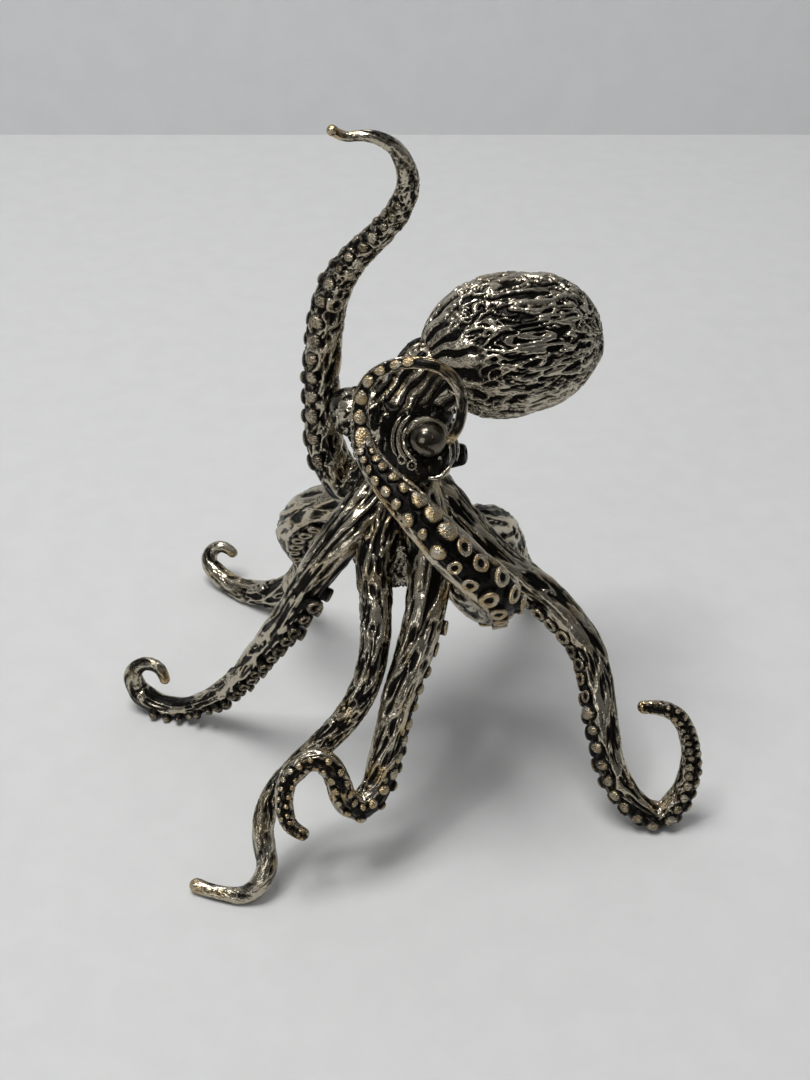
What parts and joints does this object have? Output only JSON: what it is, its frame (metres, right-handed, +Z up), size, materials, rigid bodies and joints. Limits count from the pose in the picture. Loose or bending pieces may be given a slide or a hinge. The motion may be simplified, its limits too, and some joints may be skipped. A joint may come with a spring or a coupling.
{
  "type": "octopus figurine",
  "caption": "Cast metal octopus figurine with a wrinkled bulb-shaped mantle, tapering sucker-lined arms that coil or stand on the table, and a raised arm",
  "frame": {"origin": "bottom centre of the bounding box, on the table plane", "axes": "+Z up; +X to the viewer's right in the pictured view, the side the mantle leans to; +Y away from the viewer"},
  "size_m": [0.05, 0.0454, 0.0559],
  "materials": {
    "antiqued_metal": "silver-plated cast brass with a near-black patina in the wrinkles and worn, brownish-gold high spots",
    "polished_metal": "polished silver-plated brass",
    "blackened_metal": "blackened brass, worn at the edge"
  },
  "bodies": {
    "root": {"head": "antiqued_metal", "mantle": "antiqued_metal", "near_eye": "polished_metal", "far_eye": "polished_metal", "funnel": "blackened_metal", "arm_raised": "antiqued_metal", "arm_back_left": "antiqued_metal", "arm_left": "antiqued_metal", "arm_front_left": "antiqued_metal", "arm_front": "antiqued_metal", "arm_right": "antiqued_metal", "arm_curled": "antiqued_metal", "arm_back_right": "antiqued_metal"}
  },
  "joints": []
}
